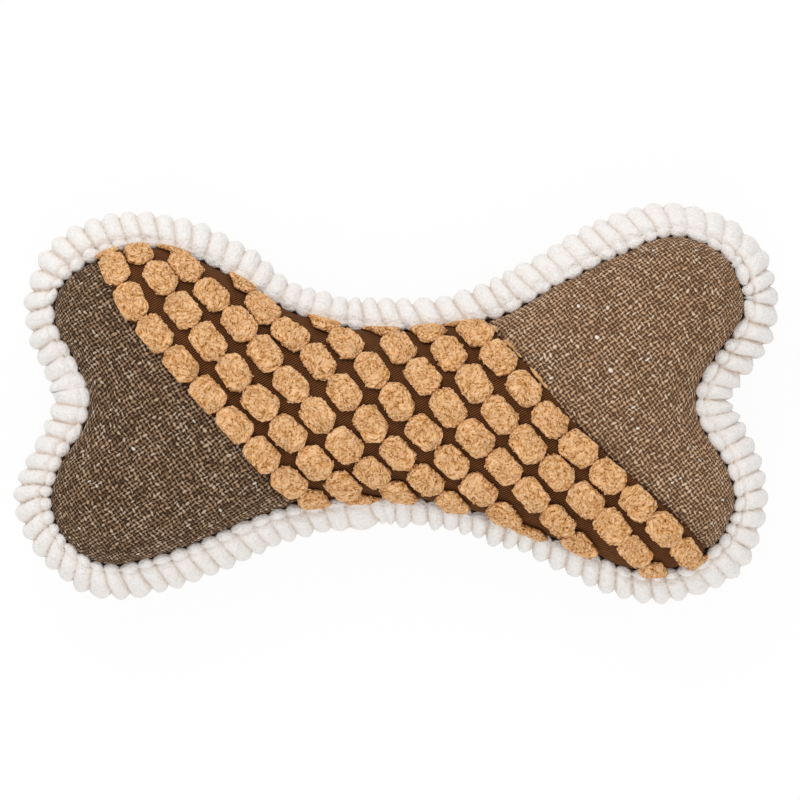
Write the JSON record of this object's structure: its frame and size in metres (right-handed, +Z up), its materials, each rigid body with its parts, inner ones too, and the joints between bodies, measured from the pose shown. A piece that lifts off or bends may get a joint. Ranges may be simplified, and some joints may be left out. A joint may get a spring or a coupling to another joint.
{
  "type": "plush bone chew toy",
  "caption": "Stuffed bone-shaped dog chew toy: woven brown panels, a slanted band of tan pile pads, a ribbed white plush border all round, and a squeaker in its filling",
  "frame": {"origin": "centre of the footprint, on the surface that the toy lies on", "axes": "+X along the bone's length, +Y across it, +Z up through its thickness, out of the front face"},
  "size_m": [0.2998, 0.156, 0.0722],
  "materials": {
    "burlap": "coarse plain weave of mixed brown yarns",
    "knit": "fine chocolate knit",
    "pile": "curly tan pile",
    "plush": "short white plush in raised ribs",
    "thread": "dark sewing thread",
    "fibre": "white polyester fibre",
    "squeaker_plastic": "soft milky plastic",
    "reed_plastic": "thin stiff plastic"
  },
  "bodies": {
    "toy": {"front_panel_left": "burlap", "band_ground": "knit", "front_panel_right": "burlap", "back_panel": "burlap", "pile_row_1": "pile", "pile_row_2": "pile", "pile_row_3": "pile", "pile_row_4": "pile", "pile_row_5": "pile", "pile_row_6": "pile", "pile_row_7": "pile", "pile_row_8": "pile", "border_strip": "plush", "filling_front": "fibre", "filling_back": "fibre", "squeaker_base": "squeaker_plastic", "squeaker_reed_holder": "squeaker_plastic", "squeaker_reed": "reed_plastic", "front_seam_thread": "thread", "back_seam_thread": "thread", "closing_stitch": "thread", "border_join_thread": "thread", "band_seam_thread_left": "thread", "band_seam_thread_right": "thread"},
    "bellows": {"squeaker_bellows": "squeaker_plastic"}
  },
  "joints": [
    {"name": "squeaker_press", "type": "slide", "parent": "toy", "child": "bellows", "axis": [0, 0, -1], "range_m": [0, 0.009], "stiffness_N_per_m": 300, "deforming": ["squeaker_bellows"]}
  ]
}
